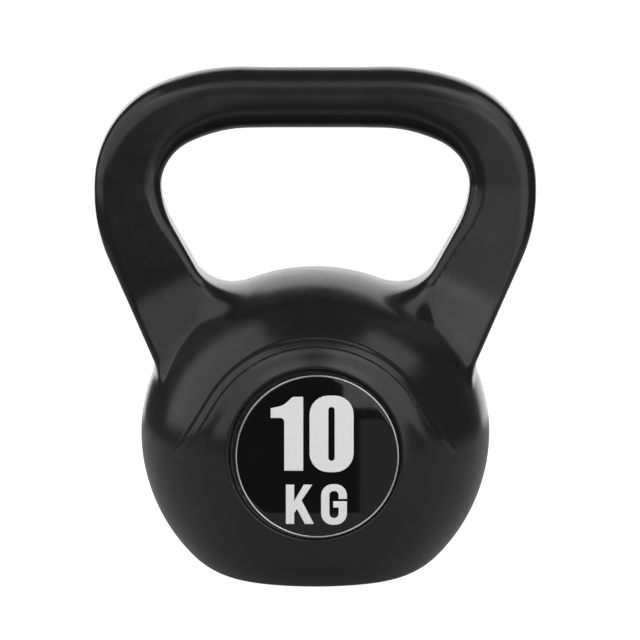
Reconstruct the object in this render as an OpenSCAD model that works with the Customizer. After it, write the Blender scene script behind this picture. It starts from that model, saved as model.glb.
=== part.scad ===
// Filled kettlebell: a hollow moulded shell, a cast ballast with a steel rod through the handle, a plug that
// closes the filling hole, and a round weight badge on the front and on the rear.
// The origin is the centre of the base. +Z is up, the front badge faces -Y, and the grip runs along X.

/* [Ball] */
// Radius of the ball at its equator
ball_r = 97.2; // [96:0.1:99]
// Height of the equator above the base
equator_z = 82.4; // [80:0.1:84]
// Height of the crown above the equator
crown_h = 92.5; // [88:0.1:94]
// Radius of the flat that the ball stands on
base_r = 36; // [34:0.5:38]

/* [Handle] */
// Height of the grip's axis above the base
grip_z = 269.9; // [266:0.1:275]
// Radius of the round grip
grip_r = 16.8; // [15:0.1:18]
// Half the length of the straight grip
grip_half = 38.6; // [34:0.1:42]
// Bend radius of the wide shoulder at each end of the grip
shoulder_r = 99; // [95:1:104]
// Turn of that shoulder
shoulder_a = 23.5; // [20:0.5:26]
// Bend radius of the corner
corner_r = 44; // [42:0.5:46]
// Bend radius where the leg turns in below the corner
knee_r = 72.5; // [68:0.5:76]
// Lean of the leg from the vertical
leg_a = 26.9; // [25:0.1:28]
// Length of the straight leg, down to where it ends inside the ball
leg_len = 107; // [100:1:112]
// Half width of the handle at its outermost point
side_half = 18.6; // [17:0.1:20]
// Half width of the leg at its lower end
root_half = 25; // [24:0.1:26]
// How much each face of the leg stands out further, for each millimetre down the leg
leg_taper = 0.045; // [0.03:0.005:0.06]
// How much more it does so where it flares towards the ball
leg_flare = 0.2; // [0.15:0.01:0.22]
// Radius of the handle's long edges at its outermost point
side_edge = 9; // [7:0.5:12]
// Radius of those edges low on the leg
root_edge = 4.5; // [4.2:0.1:6]
// Radius of the fillet in the crotch between leg and crown
crotch_r = 20; // [14:0.5:22]

/* [Shell] */
// Wall of the moulded shell
wall = 3; // [2.5:0.1:3.5]
// Gap between the shell and what is cast in it
cast_gap = 0.1; // [0.05:0.01:0.2]
// Depth of the hollow under the base
foot_hollow = 2.5; // [2:0.1:3]
// Radius of that hollow
foot_hollow_r = 24; // [22:0.5:26]

/* [Filling hole] */
// Radius of the filling hole
neck_r = 15.2; // [14:0.1:16]
// Height of the neck above the base
neck_top = 15.5; // [14:0.5:18]

/* [Badge recess] */
// Radius of the recess's floor
recess_r = 46.8; // [46.7:0.1:48]
// Height of the recess's centre above the base
recess_z = 79; // [78:0.5:80]
// Distance of the recess's floor from the middle plane
recess_y = 80.5; // [79:0.5:81]
// Width that the recess's wall slopes over, for each millimetre of its depth
recess_slope = 0.5; // [0.3:0.05:1]

/* [Badge] */
// Radius over the badge's bezel
badge_r = 45.4; // [44:0.1:45.4]
// How far the badge is stuck on to the right of the recess's centre
badge_x = 1; // [0:0.1:1]
// How far it is stuck on below the recess's centre
badge_drop = 0.6; // [0:0.1:0.6]
// Thickness of the tape, the plate and the bezel
tape_t = 0.5; // [0.3:0.1:0.8]
plate_t = 1.2; // [0.8:0.1:1.5]
bezel_t = 2.0; // [1.9:0.1:2.2]
// Width of the bezel's face
bezel_w = 1.0; // [0.8:0.1:1.5]

/* [Rod] */
// Diameter of the steel rod in the handle
rod_d = 10; // [8:1:12]
// Length of the rod's straight leg
rod_leg = 62; // [55:1:68]
// Bend radius at the foot of the rod's leg
rod_foot_r = 25; // [20:1:28]
// Half the gap between the rod's two ends
rod_gap_half = 3; // [2:0.5:6]

/* [Hidden] */

rad = PI / 180;
edge_steps = 7;                 // how many steps each rounded edge of the handle has
rod_sides = 14;
reach = 200;                    // longer than any cut needs
fit_gap = 0.1;                  // radial play between parts that are pressed or glued together

// The fillet under the ball touches both the sphere and the flat, so its radius follows from them.
base_fillet = (pow(ball_r, 2) - pow(base_r, 2) - pow(equator_z, 2)) / (2 * (ball_r - equator_z));
fillet_start_a = atan2(equator_z - base_fillet, base_r);

// Distances along the handle's axis from the middle of the grip to the end of each stretch.
end_grip = grip_half;
end_shoulder = end_grip + shoulder_r * shoulder_a * rad;
end_corner = end_shoulder + corner_r * (90 - shoulder_a) * rad;
end_knee = end_corner + knee_r * leg_a * rad;
end_leg = end_knee + leg_len;
flare_start = end_knee + 18;
flare_len = 18;                 // the stretch over which the flare sets in
crotch_start = end_knee + 25;   // where the crotch fillet leaves the leg
crotch_len = 0.94 * crotch_r;   // its length along the leg, short of a full quarter turn
swell_end = end_corner - 25;    // where the bar reaches its full thickness
sharp_end = end_knee + 25;      // from here on the long edges have root_edge

// ---- The handle's axis -------------------------------------------------------------------------------------

// Direction of the axis at distance s: 0 is along +X, 90 is straight down.
function heading(s) =
    s < end_grip ? 0 :
    s < end_shoulder ? (s - end_grip) / shoulder_r / rad :
    s < end_corner ? shoulder_a + (s - end_shoulder) / corner_r / rad :
    s < end_knee ? 90 + (s - end_corner) / knee_r / rad :
    90 + leg_a;

// A point reached from p by an arc of radius r, from heading a to heading b.
function after_arc(p, r, a, b) = [p.x + r * (sin(b) - sin(a)), p.y + r * (cos(b) - cos(a))];

shoulder_p = [grip_half, grip_z];
corner_p = after_arc(shoulder_p, shoulder_r, 0, shoulder_a);
side_p = after_arc(corner_p, corner_r, shoulder_a, 90);
knee_p = after_arc(side_p, knee_r, 90, 90 + leg_a);

// The axis at distance s, as [x, z], on the +X side.
function axis_at(s) =
    s < end_grip ? [s, grip_z] :
    s < end_shoulder ? after_arc(shoulder_p, shoulder_r, 0, heading(s)) :
    s < end_corner ? after_arc(corner_p, corner_r, shoulder_a, heading(s)) :
    s < end_knee ? after_arc(side_p, knee_r, 90, heading(s)) :
    knee_p + (s - end_knee) * [cos(90 + leg_a), -sin(90 + leg_a)];

// ---- The handle's section ----------------------------------------------------------------------------------

function ease(t) = let (c = min(max(t, 0), 1)) c * c * (3 - 2 * c);
function mix(a, b, t) = a + (b - a) * t;
function share(s, a, b) = min(max((s - a) / (b - a), 0), 1);

function bar_half(s) = mix(grip_r, side_half, ease(share(s, end_grip / 2, swell_end)));
function half_width(s) = bar_half(s) + (root_half - side_half) * share(s, end_corner, end_leg);
// Rises from 0 with an easing slope, which is 1 from t = 1 on.
function set_in(t) = t < 0 ? 0 : t < 1 ? pow(t, 3) - pow(t, 4) / 2 : t - 1 / 2;
function half_depth(s) = bar_half(s) + leg_taper * max(s - end_corner, 0)
    + leg_flare * flare_len * set_in((s - flare_start) / flare_len);
// The section is a rectangle with rounded edges. At the grip they are so round that it is all but a circle.
grip_edge = grip_r - 0.3;
function edge_r(s) = mix(grip_edge, side_edge, ease(share(s, end_grip, end_corner)))
    - (side_edge - root_edge) * ease(share(s, end_corner, sharp_end));
function crotch_fillet(s) =
    crotch_r - sqrt(pow(crotch_r, 2) - pow(crotch_len * share(s, crotch_start, crotch_start + crotch_len), 2));

// One ring of the handle at distance s, made smaller by inset. A negative s is on the -X side.
function handle_ring(s, inset) =
    let (
        d = abs(s), side = s < 0 ? -1 : 1,
        a = heading(d), c = axis_at(d),
        half = half_width(d) - inset, deep = half_depth(d) - inset, bulge = crotch_fillet(d),
        r = edge_r(d) - inset, inner_r = r + bulge,
        // The four edges' centres and radii
        edges = [
            [half - r, deep - r, r], [inner_r - half - bulge, deep - inner_r, inner_r],
            [inner_r - half - bulge, inner_r - deep, inner_r], [half - r, r - deep, r]
        ]
    )
    [for (k = [0 : 3], i = [0 : edge_steps])
        let (t = 90 * (k + i / edge_steps), e = edges[k], w = e[0] + e[2] * cos(t))
        [side * (c.x + w * sin(a)), e[1] + e[2] * sin(t), c.y + w * cos(a)]];

function steps(a, b, n) = [for (i = [1 : n]) mix(a, b, i / n)];

half_stations = concat(
    steps(0, end_grip, 1), steps(end_grip, end_shoulder, 3), steps(end_shoulder, end_corner, 7),
    steps(end_corner, end_knee, 3), steps(end_knee, crotch_start, 3),
    steps(crotch_start, crotch_start + crotch_len, 5), steps(crotch_start + crotch_len, end_leg, 4)
);
handle_stations = concat(
    [for (i = [len(half_stations) - 1 : -1 : 0]) -half_stations[i]], [0], half_stations
);

// A closed solid through rings of points that all have the same count.
module sweep(rings) {
    n = len(rings[0]);
    last = len(rings) - 1;
    points = [for (ring = rings) each ring];
    sides = [for (k = [0 : last - 1], i = [0 : n - 1])
        let (a = k * n + i, b = k * n + (i + 1) % n)
        each [[a, b, b + n], [a, b + n, a + n]]];
    first_cap = [for (i = [n - 1 : -1 : 0]) i];
    last_cap = [for (i = [0 : n - 1]) last * n + i];
    polyhedron(points, concat(sides, [first_cap], [last_cap]));
}

module handle_solid(inset = 0) {
    sweep([for (s = handle_stations) handle_ring(s, inset)]);
}

// ---- The ball ----------------------------------------------------------------------------------------------

// Half the ball's outline, inset evenly: crown, lower sphere, fillet and flat.
function ball_outline(inset) = concat(
    [for (a = [90 : -5 : 0]) [(ball_r - inset) * cos(a), equator_z + (crown_h - inset) * sin(a)]],
    [for (i = [1 : 8])
        let (a = fillet_start_a * i / 8)
        [(ball_r - inset) * cos(a), equator_z - (ball_r - inset) * sin(a)]],
    [for (i = [1 : 9])
        let (a = mix(fillet_start_a, 90, i / 9))
        [base_r + (base_fillet - inset) * cos(a), base_fillet - (base_fillet - inset) * sin(a)]],
    [[0, inset]]
);

module ball_solid(inset = 0) {
    rotate_extrude($fn = 96) polygon(ball_outline(inset));
}

// Lays what is drawn along +Z towards the front, with z = 0 on the middle plane and x = y = 0 on the recess's axis.
module facing_front() {
    translate([0, 0, recess_z]) rotate([90, 0, 0]) children();
}

// The same, with x = y = 0 on the badge's axis.
module on_badge() {
    facing_front() translate([badge_x, -badge_drop, 0]) children();
}

module front_and_rear() {
    children();
    mirror([0, 1, 0]) children();
}

// What the moulding tool presses into the ball for a badge: a flat floor with a sloped wall.
module badge_recess() {
    deep = ball_r - recess_y + 1;
    facing_front() translate([0, 0, recess_y])
        cylinder(h = deep, r1 = recess_r, r2 = recess_r + deep * recess_slope, $fn = 96);
}

// ---- The parts ---------------------------------------------------------------------------------------------

module cavity(inset) {
    difference() {
        union() {
            intersection() {
                ball_solid(inset);
                translate([-reach, inset - recess_y, 0]) cube([2 * reach, 2 * (recess_y - inset), 2 * reach]);
            }
            handle_solid(inset);
        }
        // The foot hollow and the neck stand up into the cavity.
        grow = inset - wall;
        translate([0, 0, -1]) cylinder(h = 1 + foot_hollow + wall + grow, r = foot_hollow_r + wall + grow, $fn = 96);
        translate([0, 0, -1]) cylinder(h = 1 + neck_top + grow, r = neck_r + wall + grow, $fn = 96);
    }
}

module shell() {
    color([0.03, 0.03, 0.032]) difference() {
        union() {
            ball_solid();
            handle_solid();
        }
        cavity(wall);
        front_and_rear() badge_recess();
        translate([0, 0, -1]) cylinder(h = 1 + foot_hollow, r = foot_hollow_r, $fn = 96);
        translate([0, 0, -1]) cylinder(h = 2 + neck_top, r = neck_r, $fn = 96);
    }
}

module ballast() {
    color([0.45, 0.43, 0.4]) difference() {
        cavity(wall + cast_gap);
        rod_solid(rod_d / 2 + cast_gap);
    }
}

// The rod follows the handle's axis, turns in at the foot of each leg and ends near the middle of the ball.
rod_leg_end = end_knee + rod_leg;
foot_p = axis_at(rod_leg_end);
foot_turn = 90 - leg_a;
foot_end_p = after_arc(foot_p, rod_foot_r, 90 + leg_a, 180);
rod_stations = concat(
    steps(0, end_grip, 1), steps(end_grip, end_shoulder, 3), steps(end_shoulder, end_corner, 7),
    steps(end_corner, end_knee, 3), steps(end_knee, rod_leg_end, 1)
);
// [x, z, heading] at each ring on the +X side.
rod_half = concat(
    [for (s = rod_stations) concat(axis_at(s), [heading(s)])],
    [for (a = steps(90 + leg_a, 180, 6)) concat(after_arc(foot_p, rod_foot_r, 90 + leg_a, a), [a])],
    [[rod_gap_half, foot_end_p.y, 180]]
);

function rod_ring(p, side, r) = [for (i = [0 : rod_sides - 1])
    let (t = 360 * i / rod_sides, w = r * cos(t))
    [side * (p[0] + w * sin(p[2])), r * sin(t), p[1] + w * cos(p[2])]];

module rod_solid(r) {
    sweep(concat(
        [for (i = [len(rod_half) - 1 : -1 : 0]) rod_ring(rod_half[i], -1, r)],
        [for (p = rod_half) rod_ring(p, 1, r)]
    ));
}

module handle_rod() {
    color([0.5, 0.48, 0.46]) rod_solid(rod_d / 2);
}

// Pressed in from below: a flange in the foot hollow and a ribbed skirt in the neck.
module fill_plug() {
    flange_t = 1.8;
    flange_r = 19;
    skirt_r = neck_r - 0.5;
    rib_r = neck_r - fit_gap;
    skirt_top = neck_top - 1.5;
    skirt_wall = 2.2;
    dimple_r = 4;
    color([0.06, 0.06, 0.065]) difference() {
        union() {
            translate([0, 0, foot_hollow - flange_t]) cylinder(h = flange_t, r = flange_r, $fn = 96);
            translate([0, 0, foot_hollow - 0.1]) cylinder(h = skirt_top - foot_hollow + 0.1, r = skirt_r, $fn = 96);
            for (k = [0 : 2])
                translate([0, 0, foot_hollow + 2 + 3.2 * k]) cylinder(h = 2, r1 = rib_r, r2 = skirt_r, $fn = 96);
        }
        translate([0, 0, foot_hollow + 0.6]) cylinder(h = neck_top, r = skirt_r - skirt_wall, $fn = 96);
        translate([0, 0, foot_hollow - flange_t - 1]) cylinder(h = 1.6, r = dimple_r, $fn = 48);
    }
}

module badge_tape() {
    on_badge() translate([0, 0, recess_y])
        cylinder(h = tape_t, r = badge_r - bezel_w - 2, $fn = 96);
}

module badge_plate() {
    on_badge() translate([0, 0, recess_y + tape_t])
        cylinder(h = plate_t, r = badge_r - bezel_w - fit_gap / 2, $fn = 96);
}

module badge_bezel() {
    on_badge() translate([0, 0, recess_y]) difference() {
        cylinder(h = bezel_t, r = badge_r, $fn = 96);
        translate([0, 0, -1]) cylinder(h = bezel_t + 2, r = badge_r - bezel_w, $fn = 96);
    }
}

module rear() {
    mirror([0, 1, 0]) children();
}

shell();
ballast();
handle_rod();
fill_plug();
color([0.8, 0.8, 0.78]) badge_tape();  // front_badge_tape
color([0.01, 0.01, 0.012]) badge_plate();  // front_badge_plate
color([0.75, 0.76, 0.78]) badge_bezel();  // front_badge_bezel
color([0.8, 0.8, 0.78]) rear() badge_tape();  // rear_badge_tape
color([0.01, 0.01, 0.012]) rear() badge_plate();  // rear_badge_plate
color([0.75, 0.76, 0.78]) rear() badge_bezel();  // rear_badge_bezel
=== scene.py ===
"""Looks of a filled kettlebell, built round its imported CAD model: the moulded shell with its badge recesses and
raised arch, the two badges with their printed figures, and the materials of every piece.

Shapes are worked out in millimetres, as in the CAD model, and turned into metres when a mesh is made.
"""

import math
from itertools import product

import bmesh
import bpy
import numpy as np
from mathutils import Matrix, Vector


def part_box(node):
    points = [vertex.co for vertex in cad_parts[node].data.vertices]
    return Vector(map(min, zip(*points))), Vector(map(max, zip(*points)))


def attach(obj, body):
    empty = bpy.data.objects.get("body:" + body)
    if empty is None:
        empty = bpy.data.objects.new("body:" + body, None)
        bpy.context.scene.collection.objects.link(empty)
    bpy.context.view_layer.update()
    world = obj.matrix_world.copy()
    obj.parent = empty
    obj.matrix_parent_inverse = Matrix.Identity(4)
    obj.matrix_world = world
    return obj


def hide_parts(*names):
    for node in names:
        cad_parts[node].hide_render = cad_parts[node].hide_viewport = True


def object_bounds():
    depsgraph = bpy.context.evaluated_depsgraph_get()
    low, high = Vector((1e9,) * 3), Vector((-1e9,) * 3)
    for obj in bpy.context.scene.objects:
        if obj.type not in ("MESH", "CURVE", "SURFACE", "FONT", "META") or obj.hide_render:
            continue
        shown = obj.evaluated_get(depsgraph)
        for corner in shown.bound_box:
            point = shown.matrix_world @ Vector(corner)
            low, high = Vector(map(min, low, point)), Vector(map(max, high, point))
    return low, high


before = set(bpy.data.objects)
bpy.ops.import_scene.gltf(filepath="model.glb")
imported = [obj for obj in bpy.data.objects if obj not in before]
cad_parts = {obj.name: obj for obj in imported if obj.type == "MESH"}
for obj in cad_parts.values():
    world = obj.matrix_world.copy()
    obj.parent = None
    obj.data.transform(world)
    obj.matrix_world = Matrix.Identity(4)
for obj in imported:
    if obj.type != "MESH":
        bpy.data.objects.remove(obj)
cad_low, cad_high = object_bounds()

MM = 0.001


def node_box(name):
    low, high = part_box(name)
    return np.array(low) / MM, np.array(high) / MM


# ---- Sizes, in millimetres ---------------------------------------------------------------------------------

BALL_R = 97.2
EQUATOR_Z = 82.4
CROWN_H = 92.5
BASE_R = 36.0
WALL = 3.0

GRIP_R = 16.8
GRIP_Z = cad_high.z / MM - GRIP_R
GRIP_HALF = 38.6
SHOULDER_R, SHOULDER_TURN = 99.0, 23.5
CORNER_R, CORNER_TURN = 44.0, 66.5
KNEE_R, KNEE_TURN = 72.5, 26.9
LEG_LEN = 107.0
SIDE_HALF = 18.6
ROOT_HALF = 25.0
LEG_TAPER = 0.045
LEG_FLARE, FLARE_LEN = 0.2, 18.0
GRIP_EDGE, SIDE_EDGE, ROOT_EDGE = GRIP_R - 0.3, 9.0, 4.5

CROTCH_FILLET = 23.0        # between leg and crown, on the hand's side
FACE_FILLET = 3.0           # between leg and ball, front and rear
OUTER_FILLET = 5.0          # between leg and ball, on the outside

_, tape_high = node_box("front_badge_tape")
bezel_low, bezel_high = node_box("front_badge_bezel")
plate_low, plate_high = node_box("front_badge_plate")
_, neck_high = node_box("fill_plug")

RECESS_Y = -tape_high[1]    # the recess's floor, from the middle plane
RECESS_R = 46.8
RECESS_Z = 79.0
RECESS_SLOPE = 0.5
LIP_R = 1.0
BLUNT_LIP = 4.0             # the lip of the first coarse mesh, which is then moved on to the real shape
FLOOR_FILLET = 0.5

BADGE_Z = (bezel_low[2] + bezel_high[2]) / 2
BADGE_R = (bezel_high[0] - bezel_low[0]) / 2
PLATE_R = (plate_high[0] - plate_low[0]) / 2

FOOT_HOLLOW_R = 24.0
FOOT_HOLLOW = 2.5
NECK_R = 15.2
NECK_DEPTH = neck_high[2] + 0.5
FOOT_EDGE = 0.8

ARCH_TOP = 58.3             # top of the raised arch's centre line above the equator
ARCH_R = 66.2
ARCH_TURN = 59.0
ARCH_LEG = 40.0
ARCH_FADE = 16.0            # how much of the leg the arch sinks back over
ARCH_H = 1.9
ARCH_FLAT = 1.3             # half width of its flat top
ARCH_OUTER = 4.0            # from its centre line to the foot of its outer flank
ARCH_INNER = 2.3            # and to the foot of the one on the badge's side
ARCH_STEP = 0.5             # how high the panel inside the arch is at that foot, as a share of ARCH_H
ARCH_PANEL = 10.0           # from the centre line to where the panel has sunk back to the ball

SEAM_H = 0.12               # the ridge that the mould's parting leaves on the middle plane
SEAM_HALF = 0.45

MESH_STEP = 2.65            # grid of the shell's outside
CAVITY_STEP = 5.0           # grid of its inside


# ---- The shape of the shell, as a field that is negative inside --------------------------------------------

def bend(start, heading, parts):
    """A smooth plane curve. Heading 0 is along +X and 90 is straight down.

    A part is (radius, turn in degrees), or (0, length).
    """
    stretches, x, z, s, a = [], start[0], start[1], 0.0, math.radians(heading)
    for radius, amount in parts:
        length = radius * math.radians(amount) if radius else amount
        stretches.append((x, z, a, radius, s, length))
        if radius:
            b = a + length / radius
            x += radius * (math.sin(b) - math.sin(a))
            z += radius * (math.cos(b) - math.cos(a))
            a = b
        else:
            x += length * math.cos(a)
            z -= length * math.sin(a)
        s += length
    return stretches


def locate(curve, x, z):
    """For each point, the nearest place on the curve: distance along it, offset to its outer side, distance."""
    best = np.full(x.shape, np.inf)
    along, offset = np.zeros_like(x), np.zeros_like(x)
    for x0, z0, a0, radius, s0, length in curve:
        if radius:
            cx, cz = x0 - radius * math.sin(a0), z0 - radius * math.cos(a0)
            turn = np.arctan2(x - cx, z - cz) - a0
            turn = (turn + np.pi) % (2 * np.pi) - np.pi
            a = a0 + np.clip(turn, 0, length / radius)
            s = s0 + radius * (a - a0)
            fx, fz = cx + radius * np.sin(a), cz + radius * np.cos(a)
        else:
            a = a0
            t = np.clip((x - x0) * math.cos(a0) - (z - z0) * math.sin(a0), 0, length)
            s = s0 + t
            fx, fz = x0 + t * math.cos(a0), z0 - t * math.sin(a0)
        distance = np.hypot(x - fx, z - fz)
        nearer = distance < best
        best = np.where(nearer, distance, best)
        along = np.where(nearer, s, along)
        offset = np.where(nearer, (x - fx) * np.sin(a) + (z - fz) * np.cos(a), offset)
    return along, offset, best


def share(v, a, b):
    return np.clip((v - a) / (b - a), 0, 1)


def ease(t):
    return t * t * (3 - 2 * t)


def round_union(a, b, r):
    return np.maximum(np.minimum(a, b), r) - np.hypot(np.maximum(r - a, 0), np.maximum(r - b, 0))


def round_cut(a, b, r):
    """What is in both a and b, with its edge rounded."""
    return np.minimum(np.maximum(a, b), -r) + np.hypot(np.maximum(r + a, 0), np.maximum(r + b, 0))


HANDLE = bend((0, GRIP_Z), 0, [(0, GRIP_HALF), (SHOULDER_R, SHOULDER_TURN), (CORNER_R, CORNER_TURN),
                               (KNEE_R, KNEE_TURN), (0, LEG_LEN)])
END_GRIP, _, END_CORNER, END_KNEE = (part[4] for part in HANDLE[1:])
END_LEG = END_KNEE + LEG_LEN
SWELL_END = END_CORNER - 25     # where the bar reaches its full thickness
SHARP_END = END_KNEE + 25       # from here on the long edges have ROOT_EDGE
FLARE_START = END_KNEE + 18
ARCH = bend((0, EQUATOR_Z + ARCH_TOP), 0, [(ARCH_R, ARCH_TURN), (0, ARCH_LEG)])
ARCH_END = ARCH[1][4] + ARCH_LEG

base_fillet = (BALL_R**2 - BASE_R**2 - EQUATOR_Z**2) / (2 * (BALL_R - EQUATOR_Z))
fillet_start = math.atan2(EQUATOR_Z - base_fillet, BASE_R)


def set_in(t):
    """Rises from 0 with an easing slope, which is 1 from t = 1 on."""
    c = np.clip(t, 0, 1)
    return c**3 - c**4 / 2 + np.maximum(t - 1, 0)


def handle_section(x, y, z):
    """Where a point lies in the handle's section.

    Gives the distance past the axis's end, the offset, the half width, the half depth and the edge radius.
    """
    s, w, distance = locate(HANDLE, np.abs(x), z)
    side = GRIP_R + (SIDE_HALF - GRIP_R) * ease(share(s, END_GRIP / 2, SWELL_END))
    a = side + (ROOT_HALF - SIDE_HALF) * share(s, END_CORNER, END_LEG)
    flare = LEG_FLARE * FLARE_LEN * set_in((s - FLARE_START) / FLARE_LEN)
    b = side + LEG_TAPER * np.maximum(s - END_CORNER, 0) + flare
    r = GRIP_EDGE + (SIDE_EDGE - GRIP_EDGE) * ease(share(s, END_GRIP, END_CORNER))
    r -= (SIDE_EDGE - ROOT_EDGE) * ease(share(s, END_CORNER, SHARP_END))
    past_end = np.sqrt(np.maximum(distance**2 - w**2, 0))
    return past_end, w, a, b, r


def handle_field(x, y, z):
    """The handle's field, and how far round its section a point is: -1 on the hand's side, 1 on the outside."""
    past_end, w, a, b, r = handle_section(x, y, z)
    u, v = np.abs(w) - a + r, np.abs(y) - b + r
    section = np.hypot(np.maximum(u, 0), np.maximum(v, 0)) + np.minimum(np.maximum(u, v), 0) - r
    return np.maximum(section, past_end - 5), (w / a) / np.hypot(w / a, y / b + 1e-6)


def ball_field(x, y, z):
    r, h = np.hypot(x, y), z - EQUATOR_Z
    q = np.hypot(r / BALL_R, h / CROWN_H) + 1e-9
    crown = (q - 1) * q / (np.hypot(r / BALL_R**2, h / CROWN_H**2) + 1e-9)
    sphere = np.hypot(r, h) - BALL_R
    fr, fz = r - BASE_R, z - base_fillet
    fillet = np.hypot(fr, fz) - base_fillet
    below = np.where((fr > 0) & (np.arctan2(-fz, fr) > fillet_start), fillet, sphere)
    below = np.where((fr <= 0) & (fz < 0), -z, below)
    return np.where(h > 0, crown, below)


def arch_height(x, y, z):
    s, offset, distance = locate(ARCH, np.abs(x), z)
    outer = ease(share(distance, ARCH_OUTER, ARCH_FLAT))
    inner = (1 - ARCH_STEP) * ease(share(distance, ARCH_INNER, ARCH_FLAT))
    inner = inner + ARCH_STEP * ease(share(distance, ARCH_PANEL, ARCH_INNER))
    sink = ease(share(s, ARCH_END, ARCH_END - ARCH_FADE))
    return ARCH_H * sink * np.where(offset > 0, outer, inner) * (np.abs(y) > BALL_R / 4)


def plain_shell(x, y, z, neck=True, lip=LIP_R):
    """The shell's outside without the mould's parting line."""
    handle, around = handle_field(x, y, z)
    inner, outer = ease(share(-around, 0.3, 0.85)), ease(share(around, 0.1, 0.75))
    fillet = FACE_FILLET + (CROTCH_FILLET - FACE_FILLET) * inner + (OUTER_FILLET - FACE_FILLET) * outer
    ball = ball_field(x, y, z) - arch_height(x, y, z)
    body = round_union(ball, handle, fillet)

    q, depth = np.hypot(x, z - RECESS_Z), np.abs(y) - RECESS_Y
    cone = (q - RECESS_R - RECESS_SLOPE * depth) / math.hypot(1, RECESS_SLOPE)
    body = round_cut(body, -round_cut(cone, -depth, FLOOR_FILLET), lip)

    holes = [(FOOT_HOLLOW_R, FOOT_HOLLOW), (NECK_R, NECK_DEPTH)]
    for radius, top in holes if neck else holes[:1]:
        hollow = round_cut(np.hypot(x, y) - radius, z - top, FOOT_EDGE)
        body = round_cut(body, -hollow, FOOT_EDGE)
    return body


def shell(p):
    x, y, z = p[:, 0], p[:, 1], p[:, 2]
    seam = SEAM_H * np.exp(-((y / SEAM_HALF) ** 2)) * ease(share(z, 2, 12))
    return plain_shell(x, y, z) - seam


def blunt_shell(p):
    """The outside with a blunt lip, for the first coarse mesh, which a sharper lip pinches more often."""
    return plain_shell(p[:, 0], p[:, 1], p[:, 2], lip=BLUNT_LIP)


def cavity(p):
    """The hollow inside the shell: negative in the shell's wall, so that its surface faces into the hollow."""
    x, y, z = p[:, 0], p[:, 1], p[:, 2]
    collar = round_cut(np.hypot(x, y) - NECK_R - WALL, z - neck_high[2] - 1.4, 0.5)
    return np.minimum(-WALL - plain_shell(x, y, z, False), collar)


# ---- From a field to a mesh --------------------------------------------------------------------------------

def gradient(field, p, h=0.02):
    steps = np.eye(3) * h
    return np.stack([field(p + d) - field(p - d) for d in steps], 1) / (2 * h)


def settle(field, p, rounds=4):
    """Moves points on to the field's surface."""
    for _ in range(rounds):
        g = gradient(field, p)
        move = g * (field(p) / np.maximum((g * g).sum(1), 0.05))[:, None]
        length = np.linalg.norm(move, axis=1)[:, None]
        p = p - move * np.minimum(1, 1.5 / np.maximum(length, 1e-9))
    return p


def surface_net(field, low, high, step):
    """The field's surface in a box, as points and four-sided faces, with one point in each cell it crosses."""
    axes = [np.arange(a, b + step, step) for a, b in zip(low, high)]
    shape = tuple(len(a) for a in axes)
    grid = np.stack(np.meshgrid(*axes, indexing="ij"), -1).reshape(-1, 3)
    values = np.concatenate([field(part) for part in np.array_split(grid, 12)]).reshape(shape)
    corners = list(product((0, 1), repeat=3))
    cells = tuple(n - 1 for n in shape)

    def corner(a, c):
        return a[c[0]:c[0] + cells[0], c[1]:c[1] + cells[1], c[2]:c[2] + cells[2]]

    inside = values < 0
    count = sum(corner(inside, c).astype(int) for c in corners)
    mixed = (count > 0) & (count < 8)
    index = np.full(cells, -1)
    index[mixed] = np.arange(mixed.sum())
    cell = np.argwhere(mixed)
    total, hits = np.zeros((len(cell), 3)), np.zeros(len(cell))
    for c0, c1 in product(corners, corners):
        if sum(c1) - sum(c0) == 1 and all(b >= a for a, b in zip(c0, c1)):
            v0, v1 = (values[tuple((cell + c).T)] for c in (c0, c1))
            cross = (v0 < 0) != (v1 < 0)
            t = v0[cross] / (v0[cross] - v1[cross])
            total[cross] += np.array(c0) + t[:, None] * (np.array(c1) - c0)
            hits[cross] += 1
    points = np.array([a[0] for a in axes]) + (cell + total / hits[:, None]) * step

    faces = []
    for axis in range(3):
        u, v = (axis + 1) % 3, (axis + 2) % 3
        first = np.take(inside, range(shape[axis] - 1), axis)
        second = np.take(inside, range(1, shape[axis]), axis)
        for here, flip in ((first & ~second, False), (~first & second, True)):
            e = np.argwhere(here)
            e = e[(e[:, u] > 0) & (e[:, v] > 0) & (e[:, u] < cells[u]) & (e[:, v] < cells[v])]
            du, dv = np.eye(3, dtype=int)[u], np.eye(3, dtype=int)[v]
            quad = [index[tuple((e - k).T)] for k in (0 * du, du, du + dv, dv)]
            faces.append(np.stack(quad[::-1] if flip else quad, 1))
    return points, np.concatenate(faces)


def relax(field, points, faces, rounds=3):
    """Evens out the mesh along its own surface."""
    sides = np.concatenate([faces[:, [k, (k + 1) % 4]] for k in range(4)])
    edges = np.unique(np.sort(sides, 1), axis=0)
    ends = np.concatenate([edges, edges[:, ::-1]])
    degree = np.bincount(ends[:, 0], minlength=len(points))[:, None]
    for _ in range(rounds):
        mean = np.stack([np.bincount(ends[:, 0], points[ends[:, 1], k], len(points)) for k in range(3)], 1)
        points = settle(field, points + 0.6 * (mean / degree - points), 2)
    return points


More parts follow.
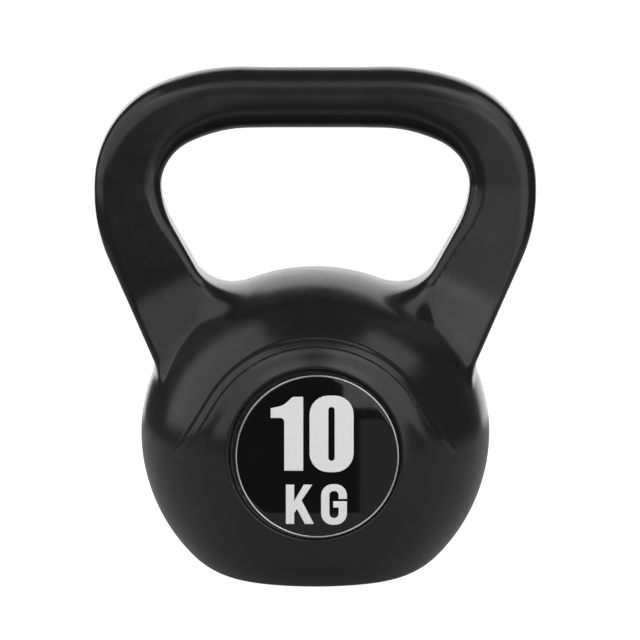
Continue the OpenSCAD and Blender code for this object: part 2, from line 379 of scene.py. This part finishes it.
def fine_zone(p, level):
    """Where the shell's mesh is divided once more.

    That is round the arch, the recess's lip, the foot, the seam and the long edges of the legs.
    """
    x, y, z = p.T
    margin = (1.8, 0.7)[level]
    s, _, distance = locate(ARCH, np.abs(x), z)
    arch = (distance < ARCH_OUTER + margin) & (np.abs(y) > BALL_R / 2) & (s < ARCH_END + margin)
    q = np.hypot(x, z - RECESS_Z)
    lip = (q > RECESS_R - 1 - margin) & (q < RECESS_R + 6 + margin) & (np.abs(y) > RECESS_Y - 1)
    foot = (np.abs(np.hypot(x, y) - FOOT_HOLLOW_R) < 1.2 + margin) & (z < FOOT_HOLLOW + 1)
    seam = (np.abs(y) < SEAM_HALF + margin) & (z > 1)
    past_end, w, a, b, r = handle_section(x, y, z)
    corner = (np.abs(w) > a - r - margin) & (np.abs(y) > b - r - margin) & (past_end < 1)
    edge = corner & (r < SIDE_EDGE - 0.1) & (np.hypot(x, z - EQUATOR_Z) > BALL_R - 8) & (level == 0)
    return arch | lip | foot | seam | edge


def refined(field, points, faces):
    bm = bmesh.new()
    verts = [bm.verts.new(p) for p in points]
    for f in faces:
        bm.faces.new([verts[i] for i in f])
    for level in (0, 1):
        co = np.array([v.co for v in bm.verts])
        near = fine_zone(co, level)
        bm.verts.index_update()
        edges = [e for e in bm.edges if near[e.verts[0].index] and near[e.verts[1].index]]
        bmesh.ops.subdivide_edges(bm, edges=edges, cuts=1, use_grid_fill=True)
        bm.verts.index_update()
        co = settle(field, np.array([v.co for v in bm.verts]), 3)
        for v, c in zip(bm.verts, co):
            v.co = c
    bmesh.ops.triangulate(bm, faces=[f for f in bm.faces if len(f.verts) > 4])
    bm.verts.index_update()
    points = np.array([v.co for v in bm.verts])
    faces = [[v.index for v in f.verts] for f in bm.faces]
    bm.free()
    return settle(field, points, 3), faces


def link(name, mesh):
    piece = bpy.data.objects.new(name, mesh)
    bpy.context.scene.collection.objects.link(piece)
    return piece


def smooth_mesh(name, points, faces, normals=None):
    mesh = bpy.data.meshes.new(name)
    mesh.from_pydata((np.asarray(points) * MM).tolist(), [], [list(map(int, f)) for f in faces])
    mesh.shade_smooth()
    if normals is not None:
        mesh.normals_split_custom_set_from_vertices(normals.tolist())
    return link(name, mesh)


def make_shell():
    margin = 6
    low, high = np.array(cad_low) / MM - margin, np.array(cad_high) / MM + margin
    points, faces = surface_net(blunt_shell, low, high, MESH_STEP)
    points = relax(shell, settle(shell, points), faces)
    points, faces = refined(shell, points, faces)
    inner_points, inner_faces = surface_net(cavity, low, high, CAVITY_STEP)
    inner_points = settle(cavity, inner_points)
    normals = np.concatenate([gradient(shell, points), gradient(cavity, inner_points)])
    normals /= np.linalg.norm(normals, axis=1)[:, None]
    faces = list(faces) + (inner_faces + len(points)).tolist()
    return smooth_mesh("moulded_shell", np.concatenate([points, inner_points]), faces, normals)


# ---- Turned and cut pieces ---------------------------------------------------------------------------------

def rounded(corners, step=15):
    """A closed outline through corners (x, y, radius), each rounded by an arc, or sharp if its radius is 0."""
    points = []
    for i, (x, y, r) in enumerate(corners):
        corner = Vector((x, y))
        before = (Vector(corners[i - 1][:2]) - corner).normalized()
        after = (Vector(corners[(i + 1) % len(corners)][:2]) - corner).normalized()
        if r == 0:
            points.append(corner)
            continue
        half = before.angle(after) / 2
        middle = corner + (before + after).normalized() * r / math.sin(half)
        first, last = corner + before * r / math.tan(half), corner + after * r / math.tan(half)
        a = math.atan2(*(first - middle).yx)
        turn = (math.atan2(*(last - middle).yx) - a + math.pi) % (2 * math.pi) - math.pi
        count = max(2, round(abs(math.degrees(turn)) / step))
        for k in range(count + 1):
            b = a + turn * k / count
            points.append(middle + Vector((math.cos(b), math.sin(b))) * r)
    return points


def finish_mesh(name, bm, place, sharp=35):
    bmesh.ops.remove_doubles(bm, verts=bm.verts, dist=1e-4)
    bmesh.ops.recalc_face_normals(bm, faces=bm.faces)
    bm.transform(place @ Matrix.Scale(MM, 4))
    mesh = bpy.data.meshes.new(name)
    bm.to_mesh(mesh)
    bm.free()
    mesh.shade_smooth()
    mesh.set_sharp_from_angle(angle=math.radians(sharp))
    return link(name, mesh)


def turned(name, outline, place, sides=160):
    """A solid turned round the Z axis from half its outline, as points (radius, height)."""
    bm = bmesh.new()
    rings = []
    for k in range(sides):
        a = 2 * math.pi * k / sides
        rings.append([bm.verts.new((r * math.cos(a), r * math.sin(a), h)) for r, h in outline])
    for ring, following in zip(rings, rings[1:] + rings[:1]):
        for i in range(len(outline)):
            j = (i + 1) % len(outline)
            corners = [ring[i], ring[j], following[j], following[i]]
            if outline[i][0] < 1e-6:
                corners.remove(following[i])
            if outline[j][0] < 1e-6:
                corners.remove(following[j])
            if len(corners) > 2:
                bm.faces.new(corners)
    return finish_mesh(name, bm, place)


def cut_out(name, outlines, bottom, top, place):
    """A thin solid with these outlines, from bottom to top above the dome, its edges slightly rounded."""
    curve = bpy.data.curves.new(name, "CURVE")
    curve.dimensions = "2D"
    curve.fill_mode = "BOTH"
    edge = 0.03
    curve.bevel_depth = edge
    curve.bevel_resolution = 1
    curve.offset = -edge
    curve.extrude = (top - bottom) / 2 - edge
    for outline in outlines:
        spline = curve.splines.new("POLY")
        spline.points.add(len(outline) - 1)
        for point, (x, y) in zip(spline.points, outline):
            point.co = (x, y, 0, 1)
        spline.use_cyclic_u = True
    source = bpy.data.objects.new(name, curve)
    mesh = bpy.data.meshes.new_from_object(source)
    bpy.data.objects.remove(source)
    bpy.data.curves.remove(curve)
    bm = bmesh.new()
    bm.from_mesh(mesh)
    bpy.data.meshes.remove(mesh)
    spacing = 3.0
    count = math.floor(PLATE_R / spacing)
    for k in range(-count, count + 1):
        for normal in ((1, 0, 0), (0, 1, 0)):
            everything = bm.verts[:] + bm.edges[:] + bm.faces[:]
            bmesh.ops.bisect_plane(bm, geom=everything, plane_co=Vector(normal) * k * spacing, plane_no=normal)
    for v in bm.verts:
        v.co.z += (top + bottom) / 2 + dome(v.co.x, v.co.y)
    return finish_mesh(name, bm, place)


# ---- The badge ---------------------------------------------------------------------------------------------

# Each figure is a list of outlines, as corners (x, y, radius) from the badge's centre.
FIGURES = {
    "one": [[
        (-18.2, -7.8, 0), (-7.7, -7.8, 0), (-7.7, 33.3, 0), (-13.6, 33.3, 3), (-18.6, 28.4, 9),
        (-25.7, 26.9, 0), (-25.7, 21.6, 0), (-18.2, 21.6, 2.2),
    ]],
    "zero": [
        [(-4.2, -8.6, 10.4), (20.2, -8.6, 10.4), (20.2, 34, 10.4), (-4.2, 34, 10.4)],
        [(6.2, -2.3, 1.7), (9.7, -2.3, 1.7), (9.7, 27.7, 1.7), (6.2, 27.7, 1.7)],
    ],
    "k": [[
        (-17.3, -37.6, 0), (-12.7, -37.6, 0), (-12.7, -31.6, 0), (-11.2, -29.2, 0), (-6.8, -37.6, 0),
        (-1.8, -37.6, 0), (-8.6, -24.4, 0), (-2.6, -15.6, 0), (-7.4, -15.6, 0), (-12.7, -24.8, 0),
        (-12.7, -15.6, 0), (-17.3, -15.6, 0),
    ]],
    "g": [[
        (16.5, -23.6, 0), (16.5, -15.3, 6.4), (2.2, -15.3, 6.4), (2.2, -38.1, 6.4), (16.5, -38.1, 6.4),
        (16.5, -24.9, 0), (8.9, -24.9, 0), (8.9, -28.4, 0), (11.9, -28.4, 0), (11.9, -34.3, 2.4),
        (6.8, -34.3, 2.4), (6.8, -19.1, 2.4), (11.9, -19.1, 2.4), (11.9, -23.6, 0),
    ]],
}
PRINT_T = 0.12              # how far the printed figures stand proud of the plate
PLATE_DOME = 1.2            # how much the plate's middle stands proud of its edge


def dome(x, y):
    return PLATE_DOME * (1 - (x * x + y * y) / PLATE_R**2)


def make_badge(side, facing):
    """The plate, its bezel and its figures, drawn with +Z out of the badge and turned to face their way."""
    low, high = node_box(side + "_badge_plate")
    inner, outer = sorted((abs(low[1]), abs(high[1])))
    bezel_top = max(abs(v) for v in (bezel_low[1], bezel_high[1]))
    centre = Vector(((low[0] + high[0]) / 2 * MM, 0, BADGE_Z * MM))
    place = Matrix.Translation(centre) @ facing

    rings = 24
    top = [(PLATE_R * k / rings, outer + dome(PLATE_R * k / rings, 0)) for k in range(rings)]
    rim = rounded([(PLATE_R, inner, 0.2), (PLATE_R, outer, 0.35), (0, outer + PLATE_DOME, 0)])
    plate = turned(side + "_plate", [(0, inner)] + [tuple(p) for p in rim[:-1]] + top[::-1], place)

    ring = rounded([(PLATE_R + 0.05, RECESS_Y, 0), (BADGE_R, RECESS_Y, 0.1), (BADGE_R, bezel_top, 0.55),
                    (PLATE_R + 0.05, bezel_top, 0.4)])
    bezel = turned(side + "_bezel", [tuple(p) for p in ring], place, 256)

    pieces = [(plate, "badge_plate", plate_material), (bezel, "badge_bezel", bezel_material)]
    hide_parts(side + "_badge_plate")
    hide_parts(side + "_badge_bezel")
    for name, corners in FIGURES.items():
        outlines = [rounded(c) for c in corners]
        figure = cut_out(f"{side}_figure_{name}", outlines, outer - 0.1, outer + PRINT_T, place)
        pieces.append((figure, "badge_print", print_material))
    for piece, slot, material in pieces:
        dress(piece, material)


# ---- Materials ---------------------------------------------------------------------------------------------

def dress(piece, material):
    piece.data.materials.clear()
    piece.data.materials.append(material)
    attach(piece, "root")


class Nodes:
    """A material under construction: its Principled shader, and helpers that add nodes to it."""

    def __init__(self, name, **sockets):
        self.material = bpy.data.materials.new(name)
        self.material.use_nodes = True
        self.tree = self.material.node_tree
        self.shader = self.tree.nodes["Principled BSDF"]
        self.place = self.tree.nodes.new("ShaderNodeTexCoord").outputs["Object"]
        for socket, value in sockets.items():
            self.shader.inputs[socket.replace("_", " ")].default_value = value

    def new(self, kind, **settings):
        node = self.tree.nodes.new(kind)
        for name, value in settings.items():
            setattr(node, name, value)
        return node

    def link(self, out, into):
        self.tree.links.new(out, into)

    def noise(self, size, detail=3, stretch=(1, 1, 1)):
        """Noise from 0 to 1 whose features are about this many millimetres across."""
        mapping = self.new("ShaderNodeMapping")
        mapping.inputs["Scale"].default_value = [s / (size * MM) for s in stretch]
        node = self.new("ShaderNodeTexNoise")
        node.inputs["Scale"].default_value = 1
        node.inputs["Detail"].default_value = detail
        self.link(self.place, mapping.inputs["Vector"])
        self.link(mapping.outputs["Vector"], node.inputs["Vector"])
        return node.outputs["Fac"]

    def cells(self, size, feature="F1"):
        node = self.new("ShaderNodeTexVoronoi", feature=feature)
        node.inputs["Scale"].default_value = 1 / (size * MM)
        self.link(self.place, node.inputs["Vector"])
        return node.outputs["Distance"]

    def ramp(self, value, stops, into):
        """Feeds a socket from a value, through a ramp of stops (position, grey or colour)."""
        node = self.new("ShaderNodeValToRGB")
        stop_list = node.color_ramp.elements
        while len(stop_list) < len(stops):
            stop_list.new(0.5)
        for stop, (position, colour) in zip(stop_list, stops):
            stop.position = position
            rgb = colour if isinstance(colour, tuple) else (colour,) * 3
            stop.color = (*rgb, 1)
        self.link(value, node.inputs["Fac"])
        self.link(node.outputs["Color"], self.shader.inputs[into])

    def bump(self, heights):
        """Adds relief: heights is a list of (value, depth in millimetres)."""
        normal = None
        for value, depth in heights:
            node = self.new("ShaderNodeBump")
            node.inputs["Strength"].default_value = 1
            node.inputs["Distance"].default_value = depth * MM
            self.link(value, node.inputs["Height"])
            if normal:
                self.link(normal, node.inputs["Normal"])
            normal = node.outputs["Normal"]
        self.link(normal, self.shader.inputs["Normal"])


def shell_plastic():
    """Black satin polyethylene with the fine grain of a blasted mould."""
    nodes = Nodes("shell_plastic", IOR=1.5)
    nodes.ramp(nodes.noise(30), [(0.3, (0.011, 0.011, 0.012)), (0.7, (0.014, 0.014, 0.015))], "Base Color")
    nodes.ramp(nodes.noise(9), [(0.3, 0.19), (0.7, 0.25)], "Roughness")
    nodes.bump([(nodes.noise(0.7), 0.006), (nodes.noise(14, 1), 0.03)])
    return nodes.material


def gloss_plate():
    """Black acrylic with faint wipe marks."""
    nodes = Nodes("badge_plate", IOR=1.6)
    nodes.ramp(nodes.noise(12), [(0.4, (0.0018, 0.0018, 0.002)), (0.8, (0.003, 0.003, 0.0032))], "Base Color")
    nodes.ramp(nodes.noise(5, 5, (1, 1, 8)), [(0.4, 0.03), (0.8, 0.07)], "Roughness")
    nodes.bump([(nodes.noise(25, 1), 0.01)])
    return nodes.material


def silver_bezel():
    nodes = Nodes("badge_bezel", Metallic=1.0)
    nodes.ramp(nodes.noise(3), [(0.3, (0.72, 0.73, 0.75)), (0.7, (0.83, 0.84, 0.86))], "Base Color")
    nodes.ramp(nodes.noise(0.6, 2), [(0.3, 0.16), (0.7, 0.3)], "Roughness")
    nodes.bump([(nodes.noise(0.5, 2), 0.004)])
    return nodes.material


def white_print():
    """Screen-printed ink, slightly uneven."""
    nodes = Nodes("badge_print", IOR=1.45)
    nodes.ramp(nodes.noise(2), [(0.3, (0.90, 0.90, 0.90)), (0.7, (0.94, 0.94, 0.94))], "Base Color")
    nodes.ramp(nodes.noise(1), [(0.3, 0.45), (0.7, 0.55)], "Roughness")
    nodes.bump([(nodes.noise(0.4), 0.004)])
    return nodes.material


def foam_tape():
    nodes = Nodes("badge_tape")
    nodes.ramp(nodes.cells(0.5), [(0.0, (0.6, 0.6, 0.58)), (0.6, (0.8, 0.8, 0.78))], "Base Color")
    nodes.ramp(nodes.noise(1), [(0.3, 0.8), (0.7, 0.95)], "Roughness")
    nodes.bump([(nodes.cells(0.5), 0.05)])
    return nodes.material


def mortar():
    """Grey mortar with sand and darker grit in it."""
    nodes = Nodes("ballast_mortar")
    grit, sand, cement = (0.22, 0.21, 0.19), (0.42, 0.4, 0.37), (0.5, 0.48, 0.44)
    nodes.ramp(nodes.cells(2.5), [(0.1, grit), (0.35, sand), (0.8, cement)], "Base Color")
    nodes.ramp(nodes.noise(2), [(0.3, 0.8), (0.7, 0.95)], "Roughness")
    nodes.bump([(nodes.cells(2.5), 0.3), (nodes.noise(0.8), 0.15)])
    return nodes.material


def rod_steel():
    """Bright drawn steel with a trace of rust."""
    nodes = Nodes("rod_steel", Metallic=1.0)
    bright, dull, rust = (0.56, 0.55, 0.53), (0.5, 0.46, 0.42), (0.3, 0.17, 0.1)
    nodes.ramp(nodes.noise(6, 5), [(0.4, bright), (0.66, dull), (0.75, rust)], "Base Color")
    nodes.ramp(nodes.noise(2), [(0.3, 0.3), (0.7, 0.5)], "Roughness")
    nodes.bump([(nodes.noise(0.5), 0.02)])
    return nodes.material


def plug_plastic():
    nodes = Nodes("plug_plastic", IOR=1.5)
    nodes.ramp(nodes.noise(6), [(0.3, (0.03, 0.03, 0.032)), (0.7, (0.045, 0.045, 0.048))], "Base Color")
    nodes.ramp(nodes.noise(2), [(0.3, 0.45), (0.7, 0.6)], "Roughness")
    nodes.bump([(nodes.noise(0.6), 0.03)])
    return nodes.material


# ---- Floor, light and camera -------------------------------------------------------------------------------

def make_floor():
    """A white floor, just below the base, which ends in front of where the badge would mirror most of it."""
    mesh = bpy.data.meshes.new("floor")
    x, front, back, z = 0.7, -0.31, 0.9, -0.0002
    mesh.from_pydata([(-x, front, z), (x, front, z), (x, back, z), (-x, back, z)], [], [(0, 1, 2, 3)])
    floor = link("floor", mesh)
    floor.data.materials.append(floor_material())


def floor_material():
    """Plain white. The camera sees it brighter than the object does, so that it meets the background."""
    material = bpy.data.materials.new("floor")
    material.use_nodes = True
    tree = material.node_tree
    shader = tree.nodes["Principled BSDF"]
    shader.inputs["Base Color"].default_value = (0.45, 0.45, 0.45, 1)
    shader.inputs["Roughness"].default_value = 0.9
    shader.inputs["Specular IOR Level"].default_value = 0
    shader.inputs["Emission Color"].default_value = (1, 1, 1, 1)
    path = tree.nodes.new("ShaderNodeLightPath")
    glow = tree.nodes.new("ShaderNodeMapRange")
    glow.inputs["To Min"].default_value = 0.05
    glow.inputs["To Max"].default_value = 1.0
    tree.links.new(path.outputs["Is Camera Ray"], glow.inputs["Value"])
    tree.links.new(glow.outputs["Result"], shader.inputs["Emission Strength"])
    return material


def make_world():
    """White behind the object, and dim where the object mirrors it."""
    world = bpy.data.worlds.new("studio")
    bpy.context.scene.world = world
    world.use_nodes = True
    tree = world.node_tree
    background = tree.nodes["Background"]
    background.inputs["Color"].default_value = (1, 1, 1, 1)
    path = tree.nodes.new("ShaderNodeLightPath")
    level = tree.nodes.new("ShaderNodeMapRange")
    level.inputs["To Min"].default_value = 0.07
    level.inputs["To Max"].default_value = 1.05
    tree.links.new(path.outputs["Is Camera Ray"], level.inputs["Value"])
    tree.links.new(level.outputs["Result"], background.inputs["Strength"])


# Softboxes that stand upright round the object. Each has the azimuths it runs from and to, in degrees, where 0
# is the front and 90 is the right, then its lower edge, upper edge and distance in metres, and its brightness.
SOFTBOXES = {
    "right_front": (10, 66, 0.35, 3.3, 1.5, 0.95),
    "right_high": (66, 100, 1.2, 3.3, 1.5, 0.85),
    "right_edge": (2.6, 22, 0.03, 0.6, 1.5, 0.75),
    "right_dim": (4.2, 22, -0.45, 0.0, 1.5, 0.2),
    "right_low": (22, 60, -0.28, 0.35, 1.5, 0.85),
    "left_front": (-56, -9, 0.34, 2.7, 1.5, 0.74),
    "left_side": (-114, -57, 0.1, 3.4, 1.5, 0.78),
    "behind": (145, 201, -0.3, 3.0, 2.5, 1.15),
}


def make_light(name, place, width, height, brightness):
    """A rectangle of light that faces along its own -Z. The camera doesn't see it."""
    light = bpy.data.lights.new(name, "AREA")
    light.shape = "RECTANGLE"
    light.size, light.size_y = width, height
    light.energy = 4 * brightness * width * height
    lamp = bpy.data.objects.new(name, light)
    lamp.matrix_world = place
    lamp.visible_camera = False
    bpy.context.scene.collection.objects.link(lamp)
    return lamp


def make_softbox(name, first, last, low, high, distance, brightness):
    width = 2 * distance * math.tan(math.radians(last - first) / 2)
    turn = Matrix.Rotation(math.radians((first + last) / 2), 4, "Z")
    upright = Matrix.Rotation(math.radians(90), 4, "X")
    stand = Matrix.Translation((0, -distance, (low + high) / 2)) @ upright
    return make_light(name, turn @ stand, width, high - low, brightness)


def make_top_light():
    """A long box above the front, which draws the soft line along the grip."""
    elevation = math.radians(60)
    distance = 1.8
    turn = Matrix.Rotation(math.radians(90) - elevation, 4, "X")
    place = turn @ Matrix.Translation((0, 0, distance))
    make_light("top", place, 2.4, 0.65, 0.45)


def make_fill():
    """Soft light from all over the front that leaves no reflection."""
    fill = make_softbox("fill", -35, 35, -0.3, 1.2, 2.5, 0.45)
    fill.visible_glossy = False


def make_camera():
    elevation = math.radians(6.5)
    distance = 8.0
    frame_width = 0.3576
    centre = (cad_low + cad_high) / 2
    aim = centre + Vector((2.6, 0, 1.6)) * MM
    data = bpy.data.cameras.new("camera")
    data.sensor_width = 36
    data.lens = data.sensor_width * distance / frame_width
    data.clip_end = 100
    camera = bpy.data.objects.new("camera", data)
    back = Vector((0, -math.cos(elevation), math.sin(elevation)))
    camera.location = aim + back * distance
    camera.rotation_euler = back.to_track_quat("Z", "Y").to_euler()
    bpy.context.scene.collection.objects.link(camera)
    bpy.context.scene.camera = camera


# ---- Everything together -----------------------------------------------------------------------------------

plate_material = gloss_plate()
bezel_material = silver_bezel()
print_material = white_print()

shell_piece = make_shell()
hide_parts("shell")
dress(shell_piece, shell_plastic())

facing_front = Matrix.Rotation(math.radians(90), 4, "X")
make_badge("front", facing_front)
make_badge("rear", Matrix.Rotation(math.pi, 4, "Z") @ facing_front)

tape = foam_tape()
for node, material in {
    "ballast": mortar(), "handle_rod": rod_steel(), "fill_plug": plug_plastic(),
    "front_badge_tape": tape, "rear_badge_tape": tape,
}.items():
    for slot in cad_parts[node].material_slots:
        slot.material = material

make_floor()
make_world()
for name, settings in SOFTBOXES.items():
    make_softbox(name, *settings)
make_top_light()
make_fill()
make_camera()
bpy.context.scene.view_settings.view_transform = "Standard"
bpy.context.scene.cycles.use_denoising = True
